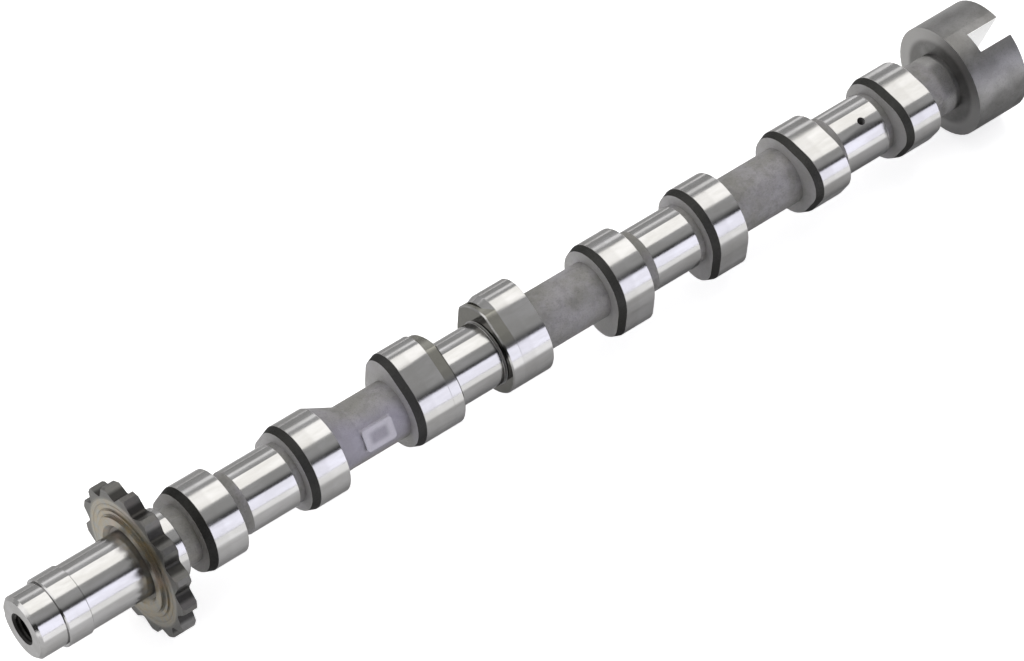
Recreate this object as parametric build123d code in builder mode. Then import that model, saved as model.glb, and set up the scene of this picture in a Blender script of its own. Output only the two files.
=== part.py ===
from build123d import *

import math
import os

# Camshaft for a four-cylinder twin-cam engine: one casting with eight ground lobes, four ground
# journals, a stepped nose and a slotted drive head, and a chain sprocket pressed on the nose.
# Millimetres. X runs along the shaft from the nose face to the rear, Z is up.

# Spacing along the shaft
CYLINDER_PITCH = 88.0
CYLINDERS = 4
LOBE_FRONT_X = 68.5  # front edge of the first lobe's ground track
LOBE_SPACING = 42.8  # from one lobe of a cylinder to the other
LOBE_WIDTH = 12.5
JOURNAL_START = 17.8  # from the first lobe's front edge
JOURNAL_WIDTH = 19.2

# Lobes
BASE_RADIUS = 16.1
NOSE_RADIUS = 11.2
NOSE_OFFSET = 8.8
CAM_ANGLE = 60.8  # nose direction of cylinder 2, from +Y towards +Z
CRANK_STEPS = (-90.0, 0.0, 180.0, 90.0)  # cylinders 1 to 4, after cylinder 2
BEVEL_LENGTH = 3.0  # cast lead-in ahead of the ground track
BEVEL_DEPTH = 1.1

# Journals and cast shaft
JOURNAL_RADIUS = 12.05
CAST_RADIUS = 10.9
HUB_RADIUS = 14.2  # round core inside each lobe, where the cast blends end
BLEND_RADIUS = 3.0
LEAD_LENGTH = 3.2  # cone in front of each journal
NECK_RADIUS = 11.4  # neck behind each journal
NECK_BLEND = 1.5

# Thrust collars on both sides of the second journal
THRUST_RADIUS = 18.3
THRUST_GAP = 20.8
THRUST_EDGE = 0.5
THRUST_CYLINDER = 1

# Blend behind the second lobe
GUSSET_RADIUS = 13.5
GUSSET_SHIFT = 2.6
GUSSET_ANGLE = 34.8
GUSSET_LENGTH = 10.5

# Nose
TIP_RADIUS = 11.9
TIP_LENGTH = 10.5
TIP_CHAMFER = 1.2
LAND_RADIUS = 13.0
LAND_LENGTH = 9.7
LAND_CHAMFER = 0.4
SEAT_RADIUS = 12.4
SHOULDER_X = 51.8
SHOULDER_RADIUS = 13.3
SHOULDER_LENGTH = 7.5
THREAD_BORE_RADIUS = 5.25  # tapping size of M12 x 1.5
THREAD_DEPTH = 32.0
THREAD_CHAMFER = 0.8
NOTCH_WIDTH = 2.6
NOTCH_DEPTH = 1.6
NOTCH_LENGTH = 3.5
NOTCH_ANGLE = -7.2

# Rear drive head
HEAD_RADIUS = 21.7
HEAD_FRONT_X = 404.6
HEAD_LENGTH = 22.6
HEAD_ROUND = 1.0
HEAD_NECK_RADIUS = 11.2
HEAD_COVE = 6.0
SLOT_WIDTH = 8.0
SLOT_DEPTH = 14.3
SLOT_ANGLE = 109.7
OIL_PASSAGE_RADIUS = 2.0
OIL_HOLE_RADIUS = 1.5
OIL_HOLE_ANGLE = 113.8
OIL_HOLE_SHIFT = 1.7  # behind the journal's middle
OIL_CYLINDER = 3

# Cast pad on the shaft between cylinders 1 and 2
PAD_WIDTH = 12.5
PAD_HEIGHT = 8.6
PAD_RISE = 0.7
PAD_CORNER = 1.6
PAD_X = 140.6
PAD_ANGLE = 152.0

# Chain sprocket
TEETH = 15
TIP_CIRCLE_RADIUS = 28.75
ROOT_CIRCLE_RADIUS = 25.2
GAP_MOUTH = 11.0
ROLLER_RADIUS = 1.6
TOOTH_CHAMFER = 0.6
SPROCKET_ANGLE = 105.6  # centre of a tooth
SPROCKET_WIDTH = 5.8
HUB_RING_RADIUS = 18.2
HUB_FRONT = 1.6
HUB_BACK = 1.0
HUB_RECESS_RADIUS = 15.2
HUB_RECESS_DEPTH = 1.6
HUB_STEP_WIDTH = 2.0
HUB_STEP_DEPTH = 0.5
PRESS_GAP = 0.01

LOBE_TAPER = math.degrees(math.atan(BEVEL_DEPTH / BEVEL_LENGTH))
HEAD_REAR_X = HEAD_FRONT_X + HEAD_LENGTH
SPROCKET_REAR_X = SHOULDER_X - HUB_BACK
SPROCKET_FRONT_X = SPROCKET_REAR_X - SPROCKET_WIDTH


def lobe_x(cylinder, second):
    """Front edge of a lobe's ground track."""
    return LOBE_FRONT_X + cylinder * CYLINDER_PITCH + (LOBE_SPACING if second else 0.0)


def journal_x(cylinder):
    """Front edge of a journal."""
    return LOBE_FRONT_X + cylinder * CYLINDER_PITCH + JOURNAL_START


def polar(radius, angle):
    """Point in the cross-section, Y and Z."""
    turn = math.radians(angle)
    return (radius * math.cos(turn), radius * math.sin(turn))


def lobe_outline(cylinder):
    """Outline of a lobe, flat: base circle and nose circle joined by tangents."""
    with BuildSketch(Plane.XY, mode=Mode.PRIVATE) as outline:
        Circle(BASE_RADIUS)
        with Locations(polar(NOSE_OFFSET, CAM_ANGLE + CRANK_STEPS[cylinder])):
            Circle(NOSE_RADIUS)
        make_hull()
    return outline.sketch


def tooth_gap():
    """Outline of one gap between teeth, along +X of the sketch: a roller seat with straight flanks."""
    with BuildSketch(Plane.XY, mode=Mode.PRIVATE) as gap:
        with Locations((ROOT_CIRCLE_RADIUS + ROLLER_RADIUS, 0)):
            Circle(ROLLER_RADIUS)
        with Locations((TIP_CIRCLE_RADIUS + 1, 0)):
            Rectangle(2, GAP_MOUTH)
        make_hull()
    return gap.sketch


def shaft_outline():
    """Half section of the turned and cast shaft, as points (x, radius) from the nose to the rear."""
    land_end = TIP_LENGTH + LAND_LENGTH
    shoulder_end = SHOULDER_X + SHOULDER_LENGTH
    points = [
        (0.0, 0.0),
        (0.0, TIP_RADIUS - TIP_CHAMFER),
        (TIP_CHAMFER, TIP_RADIUS),
        (TIP_LENGTH, TIP_RADIUS),
        (TIP_LENGTH, LAND_RADIUS - LAND_CHAMFER),
        (TIP_LENGTH + LAND_CHAMFER, LAND_RADIUS),
        (land_end - LAND_CHAMFER, LAND_RADIUS),
        (land_end, SEAT_RADIUS),
        (SHOULDER_X, SEAT_RADIUS),
        (SHOULDER_X, SHOULDER_RADIUS),
        (shoulder_end - LAND_CHAMFER, SHOULDER_RADIUS),
        (shoulder_end, SHOULDER_RADIUS - LAND_CHAMFER),
        (shoulder_end, CAST_RADIUS),
    ]
    for cylinder in range(CYLINDERS):
        first = lobe_x(cylinder, False)
        second = lobe_x(cylinder, True)
        journal = journal_x(cylinder)
        points += [
            (first - BEVEL_LENGTH, CAST_RADIUS),
            (first - BEVEL_LENGTH, HUB_RADIUS),
            (first + LOBE_WIDTH, HUB_RADIUS),
            (first + LOBE_WIDTH, CAST_RADIUS),
            (journal - LEAD_LENGTH, CAST_RADIUS),
            (journal, JOURNAL_RADIUS),
            (journal + JOURNAL_WIDTH, JOURNAL_RADIUS),
            (journal + JOURNAL_WIDTH, NECK_RADIUS),
            (second - BEVEL_LENGTH, NECK_RADIUS),
            (second - BEVEL_LENGTH, HUB_RADIUS),
            (second + LOBE_WIDTH, HUB_RADIUS),
            (second + LOBE_WIDTH, CAST_RADIUS),
        ]
    last = points.pop()[0]
    points += [
        (last, HEAD_NECK_RADIUS),
        (HEAD_FRONT_X, HEAD_NECK_RADIUS),
        (HEAD_FRONT_X, HEAD_RADIUS),
        (HEAD_REAR_X, HEAD_RADIUS),
        (HEAD_REAR_X, 0.0),
    ]
    return points


def cast_corners():
    """Where the cast shaft runs into the lobes."""
    corners = []
    for cylinder in range(CYLINDERS):
        corners.append((lobe_x(cylinder, False) - BEVEL_LENGTH, CAST_RADIUS))
        if cylinder < CYLINDERS - 1:
            corners.append((lobe_x(cylinder, True) + LOBE_WIDTH, CAST_RADIUS))
    return corners


def neck_corners():
    """Where the necks behind the journals run into the second lobes."""
    return [(lobe_x(c, True) - BEVEL_LENGTH, NECK_RADIUS) for c in range(CYLINDERS)]


def near(vertices, corners):
    """The sketch vertices that lie on the given points."""
    return [v for v in vertices if any(math.dist((v.X, v.Z), c) < 0.01 for c in corners)]


with BuildPart() as camshaft:
    with BuildSketch(Plane.XZ) as section:
        with BuildLine():
            Polyline(*shaft_outline(), close=True)
        make_face()
        fillet(near(section.vertices(), cast_corners()), BLEND_RADIUS)
        fillet(near(section.vertices(), neck_corners()), NECK_BLEND)
        head_edges = [(HEAD_FRONT_X, HEAD_RADIUS), (HEAD_REAR_X, HEAD_RADIUS)]
        fillet(near(section.vertices(), head_edges), HEAD_ROUND)
        fillet(near(section.vertices(), [(HEAD_FRONT_X, HEAD_NECK_RADIUS)]), HEAD_COVE)
    revolve(axis=Axis.X)

    # Lobes: the ground track and the cast lead-in ahead of it
    for cylinder in range(CYLINDERS):
        for second in (False, True):
            x = lobe_x(cylinder, second)
            for length, taper in ((LOBE_WIDTH, 0.0), (-BEVEL_LENGTH, LOBE_TAPER)):
                with BuildSketch(Plane.YZ.offset(x)):
                    add(lobe_outline(cylinder))
                extrude(amount=length, taper=taper)

    # Thrust collars: the lobe's blank turned down to a round, on both sides of the second journal
    thrust_middle = journal_x(THRUST_CYLINDER) + JOURNAL_WIDTH / 2
    front_collar_x = lobe_x(THRUST_CYLINDER, False) + LOBE_WIDTH
    rear_collar_x = thrust_middle + THRUST_GAP / 2
    for start, end, face in (
        (front_collar_x, thrust_middle - THRUST_GAP / 2, thrust_middle - THRUST_GAP / 2),
        (rear_collar_x, lobe_x(THRUST_CYLINDER, True), rear_collar_x),
    ):
        with BuildSketch(Plane.YZ.offset(start)):
            add(lobe_outline(THRUST_CYLINDER))
            Circle(THRUST_RADIUS, mode=Mode.INTERSECT)
        extrude(amount=end - start)
        rim = camshaft.faces().filter_by(Axis.X).filter_by(lambda f: abs(f.center().X - face) < 0.01)
        chamfer(rim.sort_by(SortBy.AREA)[-1].outer_wire().edges(), THRUST_EDGE)

    # Cast blend behind the second lobe, set off to one side
    gusset_x = lobe_x(0, True) + LOBE_WIDTH
    with BuildSketch(Plane.YZ.offset(gusset_x)):
        with Locations(polar(GUSSET_SHIFT, GUSSET_ANGLE)):
            Circle(GUSSET_RADIUS)
    with BuildSketch(Plane.YZ.offset(gusset_x + GUSSET_LENGTH)):
        Circle(CAST_RADIUS)
    loft()

    # Cast pad
    pad_plane = Plane(
        origin=(PAD_X, 0, 0),
        x_dir=(1, 0, 0),
        z_dir=(0, *polar(1, PAD_ANGLE)),
    )
    with BuildSketch(pad_plane.offset(CAST_RADIUS / 2)):
        RectangleRounded(PAD_WIDTH, PAD_HEIGHT, PAD_CORNER)
    extrude(amount=CAST_RADIUS / 2 + PAD_RISE)

    # Threaded hole in the nose, with its countersink
    with BuildSketch(Plane.YZ):
        Circle(THREAD_BORE_RADIUS)
    extrude(amount=THREAD_DEPTH, mode=Mode.SUBTRACT)
    mouth = camshaft.edges().filter_by(GeomType.CIRCLE).filter_by(
        lambda e: abs(e.center().X) < 0.01 and abs(e.radius - THREAD_BORE_RADIUS) < 0.01
    )
    chamfer(mouth, THREAD_CHAMFER)

    # Locating notch in the nose rim
    with BuildSketch(Plane.YZ):
        with Locations(polar(TIP_RADIUS, NOTCH_ANGLE)):
            Rectangle(2 * NOTCH_DEPTH, NOTCH_WIDTH, rotation=NOTCH_ANGLE)
    extrude(amount=NOTCH_LENGTH, mode=Mode.SUBTRACT)

    # Drive slot across the head
    with BuildSketch(Plane.YZ.offset(HEAD_REAR_X - SLOT_DEPTH)):
        Rectangle(2 * HEAD_RADIUS + 2, SLOT_WIDTH, rotation=SLOT_ANGLE)
    extrude(amount=SLOT_DEPTH, mode=Mode.SUBTRACT)

    # Oil passage from the slot floor to the hole in the last journal
    oil_x = journal_x(OIL_CYLINDER) + JOURNAL_WIDTH / 2 + OIL_HOLE_SHIFT
    with BuildSketch(Plane.YZ.offset(oil_x - OIL_PASSAGE_RADIUS)):
        Circle(OIL_PASSAGE_RADIUS)
    extrude(amount=HEAD_REAR_X - oil_x, mode=Mode.SUBTRACT)
    oil_plane = Plane(
        origin=(oil_x, 0, 0),
        x_dir=(1, 0, 0),
        z_dir=(0, *polar(1, OIL_HOLE_ANGLE)),
    )
    with BuildSketch(oil_plane):
        Circle(OIL_HOLE_RADIUS)
    extrude(amount=JOURNAL_RADIUS + 1, mode=Mode.SUBTRACT)


with BuildPart() as chain_sprocket:
    # Disc with its teeth: gaps for the chain's rollers, cut into the tip circle
    with BuildSketch(Plane.YZ.offset(SPROCKET_FRONT_X)):
        Circle(TIP_CIRCLE_RADIUS)
    extrude(amount=SPROCKET_WIDTH)
    chamfer(chain_sprocket.edges().filter_by(GeomType.CIRCLE), TOOTH_CHAMFER)
    with BuildSketch(Plane.YZ.offset(SPROCKET_FRONT_X)):
        with PolarLocations(0, TEETH, start_angle=SPROCKET_ANGLE + 180.0 / TEETH):
            add(tooth_gap())
    extrude(amount=SPROCKET_WIDTH, mode=Mode.SUBTRACT)

    # Hub rings on the front, and the back boss that meets the shoulder
    with BuildSketch(Plane.YZ.offset(SPROCKET_FRONT_X - HUB_FRONT)):
        Circle(HUB_RING_RADIUS)
    extrude(amount=HUB_FRONT + SPROCKET_WIDTH + HUB_BACK)
    with BuildSketch(Plane.YZ.offset(SPROCKET_FRONT_X)):
        Circle(HUB_RING_RADIUS + HUB_STEP_WIDTH)
        Circle(HUB_RING_RADIUS, mode=Mode.SUBTRACT)
    extrude(amount=-HUB_STEP_DEPTH)

    # Bore and its recess
    with BuildSketch(Plane.YZ.offset(SPROCKET_FRONT_X - HUB_FRONT)):
        Circle(SEAT_RADIUS + PRESS_GAP)
    extrude(amount=SPROCKET_WIDTH + HUB_FRONT + HUB_BACK, mode=Mode.SUBTRACT)
    with BuildSketch(Plane.YZ.offset(SPROCKET_FRONT_X - HUB_FRONT)):
        Circle(HUB_RECESS_RADIUS)
    extrude(amount=HUB_RECESS_DEPTH, taper=45, mode=Mode.SUBTRACT)


os.makedirs("parts", exist_ok=True)
camshaft.part.label = "camshaft"
chain_sprocket.part.label = "chain_sprocket"
export_step(camshaft.part, "parts/camshaft.step")
export_step(chain_sprocket.part, "parts/chain_sprocket.step")
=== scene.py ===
import math
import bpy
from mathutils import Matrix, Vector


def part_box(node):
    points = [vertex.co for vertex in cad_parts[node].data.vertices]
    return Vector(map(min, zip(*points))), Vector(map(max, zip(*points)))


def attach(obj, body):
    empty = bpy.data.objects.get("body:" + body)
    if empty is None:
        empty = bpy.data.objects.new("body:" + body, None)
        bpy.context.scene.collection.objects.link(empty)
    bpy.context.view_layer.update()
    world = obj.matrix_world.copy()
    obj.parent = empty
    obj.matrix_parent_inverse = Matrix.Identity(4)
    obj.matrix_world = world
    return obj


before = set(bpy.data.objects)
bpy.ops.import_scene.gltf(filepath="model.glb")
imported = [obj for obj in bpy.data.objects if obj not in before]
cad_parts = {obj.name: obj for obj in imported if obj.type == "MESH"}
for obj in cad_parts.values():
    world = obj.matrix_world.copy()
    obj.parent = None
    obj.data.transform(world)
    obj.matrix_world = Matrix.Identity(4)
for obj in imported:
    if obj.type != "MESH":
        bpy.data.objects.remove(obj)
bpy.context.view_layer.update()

from types import SimpleNamespace

import bpy
from mathutils import Matrix, Vector

scene = bpy.context.scene
scene.view_settings.view_transform = "Standard"

# Places repeated from the solids, in millimetres, X from the nose
PITCH = 88.0
LOBE_X = 68.5
LOBE_STEP = 42.8
LOBE_WIDTH = 12.5
TRACK_RADIUS = 15.6  # just inside the ground tracks
WEAR_WIDTH = 5.4
LEAD_LENGTH = 3.0
LEAD_RADIUS = 14.3
JOURNAL_X = 86.3
JOURNAL_WIDTH = 19.2
NOSE_END_X = 59.3
COLLARS = (168.9, 199.4)
COLLAR_RADIUS = 12.2
COLLAR_RIMS = [(169.0, 173.6), (194.2, 199.2)]
RIM_RADIUS = 13.0
HOLLOW_X = 396.5
HEAD_X = 402.0
SLOT_FLOOR_X = 412.9
SLOT_HALF_WIDTH = 4.06
BORE_RADIUS = 5.95
BORE_END_X = 34.0
PAD_X = 140.6
PAD_HALF = (6.2, 4.2)  # along the shaft and across it
PAD_MIDDLE_HALF = (3.6, 2.2)
FIRST_LOBES = [LOBE_X + PITCH * k for k in range(4)]
LOBES = FIRST_LOBES + [x + LOBE_STEP for x in FIRST_LOBES]
JOURNALS = [JOURNAL_X + PITCH * k for k in range(4)]

# Directions about the shaft's axis, from +Y towards +Z
QUARTER = math.radians(90.0)
PAD_TURN = math.radians(152.0)
SLOT_TURN = math.radians(109.7)
VIEW_TURN = math.radians(124.786)  # the photograph's side
ABOVE_TURN = VIEW_TURN - QUARTER  # up in a picture from there

BLUR = 0.12  # to each side of a zone's end, in millimetres along the shaft
RADIUS_BLUR = 0.3  # and outwards from the radius where it starts
EDGE_TINT = 0.55  # the metal's sheen towards its edges
CAST_RELIEF = 0.00035  # in metres
SPROCKET_RELIEF = 0.0002


class Nodes:
    """Short ways to write a node tree: values or sockets go in, and an output socket comes back."""

    def __init__(self, material):
        self.tree = material.node_tree
        self.tree.nodes.clear()

    def new(self, kind, **values):
        node = self.tree.nodes.new(kind)
        for key, value in values.items():
            setattr(node, key, value)
        return node

    def put(self, socket, value):
        if isinstance(value, bpy.types.NodeSocket):
            self.tree.links.new(value, socket)
        else:
            socket.default_value = value

    def math(self, operation, *values):
        node = self.new("ShaderNodeMath", operation=operation)
        for socket, value in zip(node.inputs, values):
            self.put(socket, value)
        return node.outputs[0]

    def add(self, a, b):
        return self.math("ADD", a, b)

    def sub(self, a, b):
        return self.math("SUBTRACT", a, b)

    def mul(self, a, b):
        return self.math("MULTIPLY", a, b)

    def top(self, a, b):
        return self.math("MAXIMUM", a, b)

    def other(self, mask):
        """1 where the mask is 0."""
        return self.math("SUBTRACT", 1.0, mask)

    def ramp(self, value, start, end):
        """0 at start to 1 at end, smooth."""
        node = self.new("ShaderNodeMapRange", interpolation_type="SMOOTHSTEP", clamp=True)
        self.put(node.inputs["Value"], value)
        node.inputs["From Min"].default_value = start
        node.inputs["From Max"].default_value = end
        return node.outputs["Result"]

    def band(self, value, start, end, soft):
        """1 between start and end."""
        rise = self.ramp(value, start - soft, start + soft)
        fall = self.ramp(value, end - soft, end + soft)
        return self.mul(rise, self.other(fall))

    def any_of(self, masks):
        """1 where one of the masks is 1."""
        total = masks[0]
        for mask in masks[1:]:
            total = self.top(total, mask)
        return total

    def bands(self, value, spans, soft):
        """1 within any of the spans."""
        return self.any_of([self.band(value, start, end, soft) for start, end in spans])

    def reach(self, y, z, turn):
        """How far a point lies from the shaft's axis in the given direction."""
        return self.add(self.mul(y, math.cos(turn)), self.mul(z, math.sin(turn)))

    def mix(self, factor, a, b):
        """Colour a at factor 0, colour b at factor 1."""
        node = self.new("ShaderNodeMix", data_type="RGBA")
        self.put(node.inputs[0], factor)
        self.put(node.inputs[6], a if isinstance(a, bpy.types.NodeSocket) else (*a, 1.0))
        self.put(node.inputs[7], b if isinstance(b, bpy.types.NodeSocket) else (*b, 1.0))
        return node.outputs[2]

    def tint(self, color, mask, strength, b):
        """The colour with some of b over it where the mask is 1."""
        return self.mix(self.mul(mask, strength), color, b)

    def blend(self, factor, a, b):
        """Value a at factor 0, value b at factor 1."""
        node = self.new("ShaderNodeMix", data_type="FLOAT")
        self.put(node.inputs[0], factor)
        self.put(node.inputs[2], a)
        self.put(node.inputs[3], b)
        return node.outputs[0]

    def noise(self, vector, scale, detail, rough):
        node = self.new("ShaderNodeTexNoise")
        self.put(node.inputs["Vector"], vector)
        node.inputs["Scale"].default_value = scale
        node.inputs["Detail"].default_value = detail
        node.inputs["Roughness"].default_value = rough
        return node.outputs["Fac"]

    def scaled(self, vector, x, y, z):
        node = self.new("ShaderNodeVectorMath", operation="MULTIPLY")
        self.put(node.inputs[0], vector)
        node.inputs[1].default_value = (x, y, z)
        return node.outputs[0]

    def vector(self, x, y, z):
        node = self.new("ShaderNodeCombineXYZ")
        for socket, value in zip(node.inputs, (x, y, z)):
            self.put(socket, value)
        return node.outputs[0]

    def split(self, vector):
        """The three sockets x, y and z."""
        node = self.new("ShaderNodeSeparateXYZ")
        self.put(node.inputs[0], vector)
        return node.outputs

    def bump(self, height, distance):
        node = self.new("ShaderNodeBump")
        node.inputs["Distance"].default_value = distance
        self.put(node.inputs["Height"], height)
        return node.outputs["Normal"]

    def seen_as_background(self, path):
        """1 for what the camera sees, straight on or through glass."""
        return self.top(path.outputs["Is Camera Ray"], path.outputs["Is Transmission Ray"])

    def metal(self, color, metallic, roughness, normal=None, edge=1.0):
        """The material's whole surface."""
        shader = self.new("ShaderNodeBsdfPrincipled")
        self.put(shader.inputs["Base Color"], color)
        self.put(shader.inputs["Metallic"], metallic)
        self.put(shader.inputs["Roughness"], roughness)
        shader.inputs["Specular Tint"].default_value = (edge, edge, edge, 1.0)
        if normal is not None:
            self.put(shader.inputs["Normal"], normal)
        self.surface("ShaderNodeOutputMaterial", shader)

    def surface(self, output, shader):
        self.put(self.new(output).inputs["Surface"], shader.outputs[0])


def new_material(name):
    material = bpy.data.materials.new(name)
    material.use_nodes = True
    return material


def position(n):
    """The point on the part in millimetres and its distance from the shaft's axis."""
    vector = n.scaled(n.new("ShaderNodeTexCoord").outputs["Object"], 1000.0, 1000.0, 1000.0)
    x, y, z = n.split(vector)
    radius = n.math("SQRT", n.add(n.mul(y, y), n.mul(z, z)))
    return SimpleNamespace(vector=vector, x=x, y=y, z=z, radius=radius)


def along(n):
    """How far the surface faces along the shaft, from -1 to 1."""
    return n.split(n.new("ShaderNodeNewGeometry").outputs["Normal"])[0]


# The shaft's zones, laid out by place
def ground_zones(n, at, zones, smear):
    """Lobe tracks, their wear and the journals."""
    lobes = n.bands(at.x, [(v, v + LOBE_WIDTH) for v in LOBES], BLUR)
    outside = n.ramp(at.radius, TRACK_RADIUS, TRACK_RADIUS + RADIUS_BLUR)
    tracks = n.mul(n.mul(lobes, zones.side), outside)
    journals = n.mul(n.bands(at.x, [(v, v + JOURNAL_WIDTH) for v in JOURNALS], BLUR), zones.side)
    zones.ground = n.top(tracks, journals)
    followers = n.mul(n.bands(at.x, [(v, v + WEAR_WIDTH) for v in LOBES], 0.9), tracks)
    zones.worn = n.mul(followers, n.blend(smear, 0.2, 1.0))


def turned_zones(n, at, zones):
    """Nose, thrust collars with their rims, head, slot and bolt hole."""
    nose = n.band(at.x, -2.0, NOSE_END_X, BLUR)
    outside = n.ramp(at.radius, COLLAR_RADIUS, COLLAR_RADIUS + RADIUS_BLUR)
    zones.collars = n.mul(n.band(at.x, *COLLARS, BLUR), outside)
    rims = n.mul(n.bands(at.x, COLLAR_RIMS, 0.1), zones.side)
    rims = n.mul(rims, n.ramp(at.radius, RIM_RADIUS, RIM_RADIUS + 1.0))
    # Painted shade: only the rims' upper side is darkened
    zones.rims = n.mul(rims, n.ramp(n.reach(at.y, at.z, ABOVE_TURN), -4.0, 1.0))
    zones.head = n.ramp(at.x, HEAD_X, HEAD_X + 1.5)
    wall = n.reach(at.y, at.z, SLOT_TURN + QUARTER)
    walls = n.mul(zones.side, n.band(wall, -SLOT_HALF_WIDTH, SLOT_HALF_WIDTH, 0.04))
    zones.slot = n.mul(n.ramp(at.x, SLOT_FLOOR_X - 0.1, SLOT_FLOOR_X + 0.1), walls)
    inside = n.other(n.ramp(at.radius, BORE_RADIUS, BORE_RADIUS + 0.15))
    zones.bore = n.mul(inside, n.band(at.x, 0.02, BORE_END_X, 0.01))
    zones.turned = n.any_of([nose, zones.collars, zones.head])


def cast_zones(n, at, zones):
    """Faces towards the nose, and the lobes' lead-ins."""
    zones.front = n.other(n.ramp(at.slope, -0.9, -0.7))
    leads = n.bands(at.x, [(v - LEAD_LENGTH, v - 0.05) for v in LOBES], 0.1)
    outside = n.ramp(at.radius, LEAD_RADIUS, LEAD_RADIUS + RADIUS_BLUR)
    zones.leads = n.mul(n.mul(leads, outside), n.band(at.slope, -0.6, -0.15, 0.05))


def shaft_zones(n, at, smear):
    """Masks from 0 to 1, one for each zone of the surface."""
    zones = SimpleNamespace(flat=n.math("ABSOLUTE", at.slope))
    zones.side = n.other(n.ramp(zones.flat, 0.12, 0.3))
    ground_zones(n, at, zones, smear)
    turned_zones(n, at, zones)
    cast_zones(n, at, zones)
    zones.machined = n.top(zones.ground, zones.turned)
    return zones


# The shaft's colours
def cast_noises(n, vector):
    """Patches and grain, from broad to fine."""
    return SimpleNamespace(
        broad=n.noise(vector, 0.09, 4.0, 0.6),
        drift=n.noise(n.scaled(vector, 1.0, 1.3, 1.0), 0.045, 2.0, 0.5),
        blotch=n.noise(vector, 0.38, 3.0, 0.6),
        grain=n.noise(vector, 1.5, 4.0, 0.65),
        fine=n.noise(vector, 5.0, 2.0, 0.6),
    )


def cast_skin(n, noises):
    """Grainy grey with browner and darker patches and specks worn lighter."""
    cast = n.mix(n.ramp(noises.broad, 0.35, 0.68), (0.270, 0.265, 0.250), (0.350, 0.338, 0.357))
    cast = n.tint(cast, n.ramp(noises.drift, 0.52, 0.7), 0.5, (0.275, 0.266, 0.220))
    cast = n.tint(cast, n.ramp(noises.blotch, 0.45, 0.7), 0.35, (0.17, 0.165, 0.165))
    cast = n.tint(cast, n.ramp(noises.grain, 0.5, 0.75), 0.45, (0.16, 0.155, 0.15))
    return n.tint(cast, n.ramp(noises.fine, 0.55, 0.75), 0.3, (0.45, 0.445, 0.45))


def pad_patch(n, at, across, half, soft):
    """1 on a rectangle of the given half length and half width about the pad's middle."""
    length = n.band(at.x, PAD_X - half[0], PAD_X + half[0], soft[0])
    return n.mul(length, n.band(across, -half[1], half[1], soft[1]))


def pad_tints(n, at, noises, cast):
    """Violet painted sheen round the cast pad, on its side towards PAD_TURN, and the pad's lighter
    rim.
    """
    across = n.reach(at.y, at.z, PAD_TURN + QUARTER)
    facing = n.reach(at.y, at.z, PAD_TURN)
    # Painted sheen: the cast lighter and violet round the pad, on its side towards PAD_TURN
    painted_sheen = n.mul(n.band(at.x, PAD_X - 20.0, PAD_X + 14.0, 8.0), n.ramp(facing, 6.0, 10.5))
    cast = n.mix(n.mul(painted_sheen, n.blend(noises.drift, 0.30, 0.75)), cast, (0.42, 0.40, 0.50))
    pad = n.mul(pad_patch(n, at, across, PAD_HALF, (0.5, 0.5)), n.ramp(facing, 9.0, 9.8))
    rim = n.mul(pad, n.other(pad_patch(n, at, across, PAD_MIDDLE_HALF, (1.2, 1.0))))
    return n.mix(n.mul(rim, n.blend(noises.grain, 0.35, 0.8)), cast, (0.72, 0.70, 0.76))


def face_light_and_shade(n, at, zones, cast):
    """Faces towards the nose painted lighter, a painted light; the hollow before the head painted
    light, with painted shade on its side towards VIEW_TURN.
    """
    # Painted light: faces towards the nose lighter than the cast around them
    cast = n.tint(cast, zones.front, 0.45, (0.60, 0.595, 0.60))
    # Hollow before the head: painted light, and painted shade on the side towards VIEW_TURN
    shade_side = n.math("DIVIDE", n.reach(at.y, at.z, VIEW_TURN), n.top(at.radius, 1.0))
    hollow_light_and_shade = n.mix(n.ramp(shade_side, 0.72, 0.92), (0.52, 0.515, 0.51), (0.10, 0.10, 0.10))
    hollow = n.mul(n.ramp(at.x, HOLLOW_X, HOLLOW_X + 2.5), n.other(zones.head))
    return n.tint(cast, hollow, 0.55, hollow_light_and_shade)


def lead_darkening(n, at, zones, noises, cast):
    """Near-black lead-ins, darkest on the first lobe."""
    lead_dark = n.mix(n.ramp(at.x, 80.0, 120.0), (0.016, 0.016, 0.015), (0.036, 0.036, 0.034))
    return n.mix(n.mul(zones.leads, n.blend(noises.blotch, 0.99, 0.90)), cast, lead_dark)


def ground_steel(n, zones, smear):
    """Bright metal with the followers' wear, darker thrust faces, and painted shade on the upper side
    of the collar rims.
    """
    bright = n.mix(n.ramp(smear, 0.35, 0.7), (0.410, 0.405, 0.399), (0.470, 0.465, 0.467))
    bright = n.tint(bright, zones.worn, 0.3, (0.30, 0.295, 0.285))
    thrust_faces = n.mul(zones.collars, n.ramp(zones.flat, 0.6, 0.9))
    bright = n.tint(bright, thrust_faces, 0.8, (0.09, 0.088, 0.075))
    return n.tint(bright, zones.rims, 0.8, (0.21, 0.205, 0.175))


def head_steel(n, at, zones, noises):
    """Dull turned head, its outer front painted lighter as painted light, and polished slot walls
    painted near white as a painted highlight.
    """
    dull = n.mix(n.ramp(noises.broad, 0.35, 0.65), (0.185, 0.182, 0.178), (0.255, 0.252, 0.250))
    dull = n.tint(dull, n.ramp(noises.grain, 0.5, 0.75), 0.4, (0.10, 0.10, 0.10))
    # Painted light: the head's outer front lighter
    dull = n.mix(n.mul(zones.front, n.ramp(at.radius, 15.5, 18.0)), dull, (0.39, 0.385, 0.38))
    # Painted highlight: the slot walls near white
    return n.mix(zones.slot, dull, (0.90, 0.90, 0.90))


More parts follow.
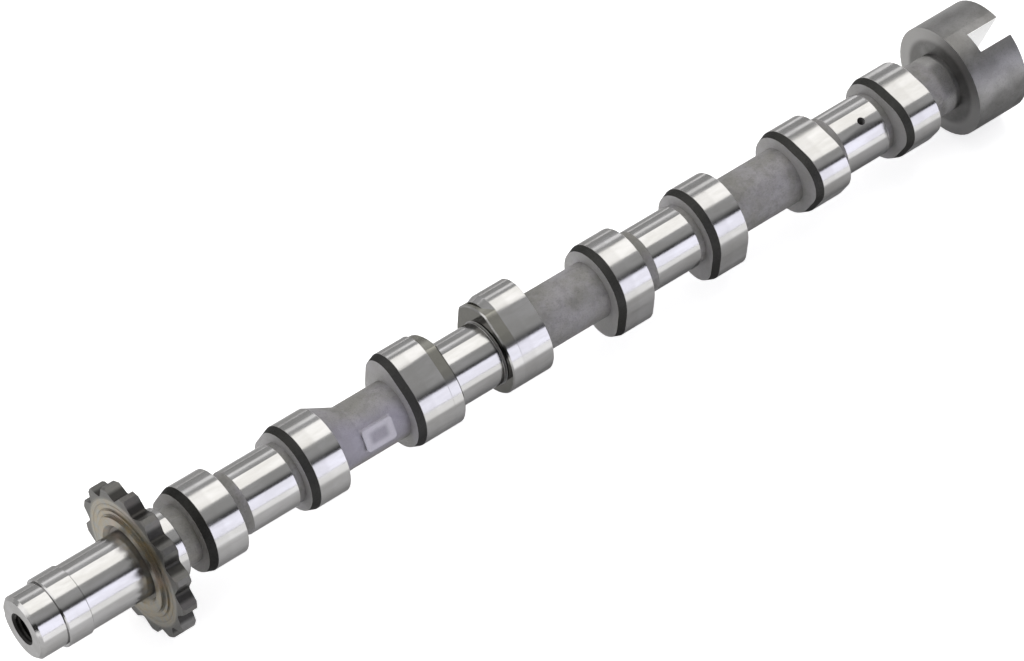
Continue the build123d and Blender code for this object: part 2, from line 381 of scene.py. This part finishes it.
def shaft_color(n, at, zones, noises, smear):
    cast = pad_tints(n, at, noises, cast_skin(n, noises))
    cast = lead_darkening(n, at, zones, noises, face_light_and_shade(n, at, zones, cast))
    metal = n.mix(zones.head, ground_steel(n, zones, smear), head_steel(n, at, zones, noises))
    # Painted shade: inside the nose's bolt hole near-black
    return n.mix(zones.bore, n.mix(zones.machined, cast, metal), (0.012, 0.011, 0.010))


# The shaft's gloss and relief
def shaft_roughness(n, zones, noises, smear):
    ground = n.add(n.blend(smear, 0.10, 0.17), n.mul(zones.worn, 0.05))
    ground = n.add(ground, n.mul(zones.rims, 0.12))
    head = n.blend(zones.slot, n.blend(noises.broad, 0.32, 0.46), 0.12)
    metal = n.blend(zones.head, ground, head)
    roughness = n.blend(zones.machined, n.blend(noises.grain, 0.42, 0.62), metal)
    return n.blend(zones.bore, roughness, 0.6)


def shaft_metallic(n, zones):
    metallic = n.mul(n.blend(zones.machined, 0.5, 1.0), n.other(n.mul(zones.bore, 0.8)))
    return n.top(metallic, zones.leads)


def shaft_relief(n, at, zones, noises):
    """Pitted cast skin and head, and fine grinding rings."""
    rings = n.noise(n.vector(at.x, n.mul(at.radius, 0.05), 0.0), 9.0, 5.0, 0.75)
    pits = n.add(n.mul(noises.grain, 0.7), n.mul(noises.fine, 0.3))
    cast = n.mul(pits, n.other(zones.machined))
    ground = n.mul(n.mul(rings, 0.03), zones.machined)
    head = n.mul(n.mul(pits, 0.25), zones.head)
    return n.bump(n.add(n.add(cast, ground), head), CAST_RELIEF)


def shaft_material():
    """Cast iron with ground, turned and worn zones."""
    material = new_material("camshaft_iron")
    n = Nodes(material)
    at = position(n)
    at.slope = along(n)
    noises = cast_noises(n, at.vector)
    smear = n.noise(n.scaled(at.vector, 0.25, 1.0, 1.0), 0.22, 3.0, 0.6)
    zones = shaft_zones(n, at, smear)
    color = shaft_color(n, at, zones, noises, smear)
    roughness = shaft_roughness(n, zones, noises, smear)
    relief = shaft_relief(n, at, zones, noises)
    n.metal(color, shaft_metallic(n, zones), roughness, relief, EDGE_TINT)
    return material


# Chain sprocket, radii in millimetres
SPROCKET_BORE_RADIUS = 13.0
SPROCKET_GROOVES = (18.4, 20.3, 22.4)
GROOVE_WIDTH = 0.35
TEETH_RADIUS = 23.8
TEETH_DARK_RADIUS = 25.4
SEAT_RADIUS = 26.4
SEAT_END_RADIUS = 27.6


def sprocket_color(n, at, flat, noises, groove, teeth):
    """Turned grey with brown and pinkish heat tints and dark teeth; roller seats and bore painted
    near-black as painted shade.
    """
    grey = n.mix(n.ramp(noises.rings, 0.35, 0.65), (0.195, 0.195, 0.176), (0.250, 0.247, 0.225))
    heat = n.mul(n.band(at.radius, SPROCKET_BORE_RADIUS, 24.0, 3.0), n.ramp(noises.mottle, 0.35, 0.65))
    color = n.tint(grey, heat, 0.75, (0.31, 0.245, 0.145))
    color = n.tint(color, n.ramp(noises.drift, 0.5, 0.68), 0.55, (0.36, 0.30, 0.28))
    color = n.tint(color, groove, 0.32, (0.07, 0.062, 0.050))
    color = n.tint(color, teeth, 0.8, (0.108, 0.106, 0.104))
    color = n.tint(color, n.ramp(noises.fine, 0.55, 0.8), 0.4, (0.06, 0.055, 0.05))
    # Painted shade in the gaps between the teeth: roller seats near-black
    edgewise = n.other(n.ramp(flat, 0.3, 0.6))
    seat = n.mul(n.other(n.ramp(at.radius, SEAT_RADIUS, SEAT_END_RADIUS)), edgewise)
    color = n.mix(n.mul(seat, n.mul(teeth, 0.85)), color, (0.022, 0.021, 0.020))
    # Painted shade round the bore, where the hub meets the shaft
    bore = n.other(n.ramp(at.radius, SPROCKET_BORE_RADIUS, SPROCKET_BORE_RADIUS + 1.6))
    return n.tint(color, bore, 0.7, (0.04, 0.036, 0.032))


def sprocket_material():
    """Turned steel, finely grooved on its faces."""
    material = new_material("sprocket_steel")
    n = Nodes(material)
    at = position(n)
    flat = n.math("ABSOLUTE", along(n))
    noises = SimpleNamespace(
        rings=n.noise(n.vector(at.radius, n.mul(at.x, 0.2), 0.0), 1.1, 3.0, 0.6),
        mottle=n.noise(at.vector, 0.28, 4.0, 0.6),
        drift=n.noise(at.vector, 0.07, 2.0, 0.5),
        fine=n.noise(at.vector, 2.2, 3.0, 0.6),
    )
    grooves = n.bands(at.radius, [(v, v + GROOVE_WIDTH) for v in SPROCKET_GROOVES], 0.12)
    groove = n.mul(grooves, n.ramp(flat, 0.7, 0.9))
    teeth = n.ramp(at.radius, TEETH_RADIUS, TEETH_DARK_RADIUS)
    color = sprocket_color(n, at, flat, noises, groove, teeth)
    roughness = n.add(n.blend(noises.mottle, 0.28, 0.42), n.mul(teeth, 0.1))
    raised = n.add(n.mul(noises.rings, 0.15), n.mul(noises.fine, 0.4))
    relief = n.bump(n.sub(raised, n.mul(groove, 0.5)), SPROCKET_RELIEF)
    n.metal(color, 0.9, roughness, relief)
    return material


def dress(name, material):
    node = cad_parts[name]
    if not node.material_slots:
        node.data.materials.append(material)
    for slot in node.material_slots:
        slot.material = material


dress("camshaft", shaft_material())
dress("chain_sprocket", sprocket_material())

# Thread in the nose's bolt hole, in millimetres
THREAD_PITCH = 1.5
THREAD_START = 1.0
THREAD_TURNS = 19
THREAD_STEPS = 60  # in a turn
THREAD_PROFILE = ((-0.6, 5.26), (-0.1, 4.75), (0.1, 4.75), (0.6, 5.26))  # along the axis, radius


def thread_mesh():
    """The ridge's profile swept round the hole."""
    steps = THREAD_STEPS * THREAD_TURNS
    sides = len(THREAD_PROFILE)
    points = []
    for i in range(steps + 1):
        turn = 2 * math.pi * i / THREAD_STEPS
        x = THREAD_START + THREAD_PITCH * i / THREAD_STEPS
        for dx, r in THREAD_PROFILE:
            points.append(((x + dx) / 1000, r * math.cos(turn) / 1000, r * math.sin(turn) / 1000))
    faces = []
    for i in range(steps):
        for k in range(sides - 1):
            a = sides * i + k
            faces.append((a, a + sides, a + sides + 1, a + 1))
    mesh = bpy.data.meshes.new("nose_thread")
    mesh.from_pydata(points, [], faces)
    return mesh


def nose_thread():
    """Thread ridge inside the nose's bolt hole, near-black as painted shade."""
    mesh = thread_mesh()
    piece = bpy.data.objects.new("nose_thread", mesh)
    scene.collection.objects.link(piece)
    material = new_material("thread_in_painted_shade")
    n = Nodes(material)
    spots = n.noise(position(n).vector, 1.2, 3.0, 0.6)
    # Painted shade: the thread near-black inside the hole
    color = n.mix(spots, (0.006, 0.006, 0.005), (0.022, 0.020, 0.018))
    n.metal(color, 0.7, n.blend(spots, 0.35, 0.55))
    mesh.materials.append(material)
    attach(piece, "root")


nose_thread()

# Floor, in metres; the part lies along X at Y 0, and the camera is towards -Y
FLOOR_HALF = 6.0
FLOOR_GAP = 0.0001
SPROCKET_X = 0.0509  # the sprocket's lowest tooth stands on the floor here
HEAD_REAR_X = 0.4265  # and the head's rear edge here
FLOOR_COLOR = 0.82
FLOOR_SEEN = 0.7  # plain white added to what the camera sees of it
FLOOR_MIRRORED = 0.9  # and to what the metal mirrors of it, away from the shaft
BEFORE = (0.072, 0.108)  # how far in front of the shaft that white begins
PAST_HEAD_X = (0.428, 0.438)  # and where beyond the head
BEHIND_Y = (-0.012, 0.006)  # from the floor in front of the shaft to that behind it
FADE_Y = (0.04, 0.12)  # the glow behind the shaft ends here


def rest_plane():
    """The plane that the part stands on: its height at the nose, and its slope."""
    low_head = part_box("camshaft")[0][2]
    low_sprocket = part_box("chain_sprocket")[0][2]
    slope = (low_head - low_sprocket) / (HEAD_REAR_X - SPROCKET_X)
    return low_sprocket - slope * SPROCKET_X, slope


def floor_material():
    """White to the camera. Metal mirrors it white away from the shaft and dimmer close under it, a
    painted shade in front of the shaft, with a painted glow close to the shaft, stronger behind it and
    towards the nose.
    """
    material = new_material("floor_white")
    n = Nodes(material)
    path = n.new("ShaderNodeLightPath")
    mirror = path.outputs["Is Glossy Ray"]
    x, y, _ = n.split(n.new("ShaderNodeTexCoord").outputs["Object"])
    past_head = n.mul(n.ramp(x, *PAST_HEAD_X), n.ramp(y, BEHIND_Y[0], 0.0))
    far = n.top(n.ramp(n.mul(y, -1.0), *BEFORE), past_head)
    behind = n.ramp(y, *BEHIND_Y)
    # Painted glow close to the shaft, seen only by the metal's mirror rays
    glow_before = n.blend(n.ramp(x, 0.08, 0.24), 0.32, 0.10)
    glow_behind = n.blend(n.ramp(x, 0.10, 0.33), 0.46, 0.26)
    near = n.mul(n.blend(behind, glow_before, glow_behind), n.other(n.ramp(y, *FADE_Y)))
    # Painted shade: the floor close in front of the shaft dimmer in what the metal mirrors
    mirror_shade = n.mul(n.mul(n.other(behind), n.other(far)), mirror)
    shade = n.sub(FLOOR_COLOR, n.mul(mirror_shade, 0.2))
    mirrored = n.mul(n.top(near, n.mul(far, FLOOR_MIRRORED)), mirror)
    diffuse = n.new("ShaderNodeBsdfDiffuse")
    n.put(diffuse.inputs["Color"], n.vector(shade, shade, shade))
    glow = n.new("ShaderNodeEmission")
    n.put(glow.inputs["Strength"], n.add(n.mul(n.seen_as_background(path), FLOOR_SEEN), mirrored))
    both = n.new("ShaderNodeAddShader")
    n.put(both.inputs[0], diffuse.outputs[0])
    n.put(both.inputs[1], glow.outputs[0])
    n.surface("ShaderNodeOutputMaterial", both)
    return material


def stage_floor():
    """Plain white floor that keeps the part's shadow."""
    height, slope = rest_plane()
    half = FLOOR_HALF
    mesh = bpy.data.meshes.new("floor")
    corners = [(-half, -half), (half, -half), (half, half), (-half, half)]
    points = [(a, b, height + slope * a - FLOOR_GAP) for a, b in corners]
    mesh.from_pydata(points, [], [(0, 1, 2, 3)])
    floor = bpy.data.objects.new("floor", mesh)
    scene.collection.objects.link(floor)
    mesh.materials.append(floor_material())


stage_floor()

# Lamps, in metres
PART_MIDDLE_X = 0.2136
PANEL_DISTANCE = 2.2
PANEL_REACH = 2.0
PANEL_LEAN = 0.41  # along the shaft for each metre of distance, where the camera's view is mirrored
LEFT_DISTANCE = 1.9
LEFT_SHIFT = 0.2


def from_shaft(s, t, e):
    """Direction from s along the shaft, t towards the photograph's side and e up in its picture."""
    y = t * math.cos(VIEW_TURN) + e * math.cos(ABOVE_TURN)
    z = t * math.sin(VIEW_TURN) + e * math.sin(ABOVE_TURN)
    return Vector((s, y, z))


def soft_lamp(name, towards, place, size, level, color):
    """Soft rectangular lamp facing back along `towards`, as bright as a surface of the given level."""
    data = bpy.data.lights.new(name, "AREA")
    data.shape = "RECTANGLE"
    data.size, data.size_y = size
    data.energy = level * math.pi * size[0] * size[1]
    data.color = color
    lamp = bpy.data.objects.new(name, data)
    scene.collection.objects.link(lamp)
    z_axis = towards.normalized()
    x_axis = (Vector((1.0, 0.0, 0.0)) - z_axis * z_axis.x).normalized()
    y_axis = z_axis.cross(x_axis)
    turn = Matrix((x_axis, y_axis, z_axis)).transposed()
    lamp.matrix_world = Matrix.Translation(place) @ turn.to_4x4()
    lamp.visible_camera = False


def panel(name, start, end, level, color):
    """Soft panel that the shaft mirrors between two angles from the camera's side, in degrees."""
    middle = math.radians((start + end) / 2)
    width = 2 * PANEL_DISTANCE * math.sin(math.radians(abs(end - start) / 2))
    across = from_shaft(0.0, math.cos(middle), math.sin(middle))
    along_shaft = PART_MIDDLE_X + PANEL_LEAN * PANEL_DISTANCE
    place = across * PANEL_DISTANCE + Vector((along_shaft, 0.0, 0.0))
    soft_lamp(name, across, place, (PANEL_REACH, width), level, color)


panel("back_panel", 24.0, 74.0, 1.5, (1.0, 0.985, 0.945))
panel("front_panel", -19.5, -55.0, 2.1, (0.89, 0.89, 1.0))
panel("rim_strip", 86.0, 97.0, 0.9, (1.0, 1.0, 1.0))
left = from_shaft(-0.70, 0.25, 0.67)
left_place = left * LEFT_DISTANCE + Vector((LEFT_SHIFT, 0.0, 0.0))
soft_lamp("left_lamp", left, left_place, (1.8, 1.6), 1.3, (1.0, 0.99, 0.98))


# Room, as levels of grey
ROOM_DARK = 0.03
ROOM_GREY = 0.56


def studio_world():
    """Grey room, darker in front of the shaft; the camera sees it white."""
    world = bpy.data.worlds.new("studio")
    scene.world = world
    world.use_nodes = True
    n = Nodes(world)
    x, y, z = n.split(n.new("ShaderNodeTexCoord").outputs["Generated"])
    across = n.math("SQRT", n.top(n.sub(1.0, n.mul(x, x)), 0.0001))
    rise = n.math("DIVIDE", n.reach(y, z, ABOVE_TURN), across)
    grey = n.blend(n.ramp(rise, -0.30, 0.02), ROOM_DARK, ROOM_GREY)
    grey = n.blend(n.seen_as_background(n.new("ShaderNodeLightPath")), grey, 1.0)
    background = n.new("ShaderNodeBackground")
    n.put(background.inputs["Color"], n.vector(grey, grey, grey))
    n.surface("ShaderNodeOutputWorld", background)


studio_world()

# Camera at the photograph's place and turn
CAMERA_PLACE = (-0.5036, -0.8902, 1.2849)
CAMERA_RIGHT = (0.7819, -0.6234, 0.0)
CAMERA_FORWARD = (0.4140, 0.5193, -0.7476)
camera_data = bpy.data.cameras.new("camera")
camera_data.sensor_width = 36.0
camera_data.lens = 174.4
camera_data.clip_end = 50.0
camera = bpy.data.objects.new("camera", camera_data)
scene.collection.objects.link(camera)
right = Vector(CAMERA_RIGHT).normalized()
forward = Vector(CAMERA_FORWARD).normalized()
camera_turn = Matrix((right, right.cross(forward), -forward)).transposed().to_4x4()
camera.matrix_world = Matrix.Translation(CAMERA_PLACE) @ camera_turn
scene.camera = camera
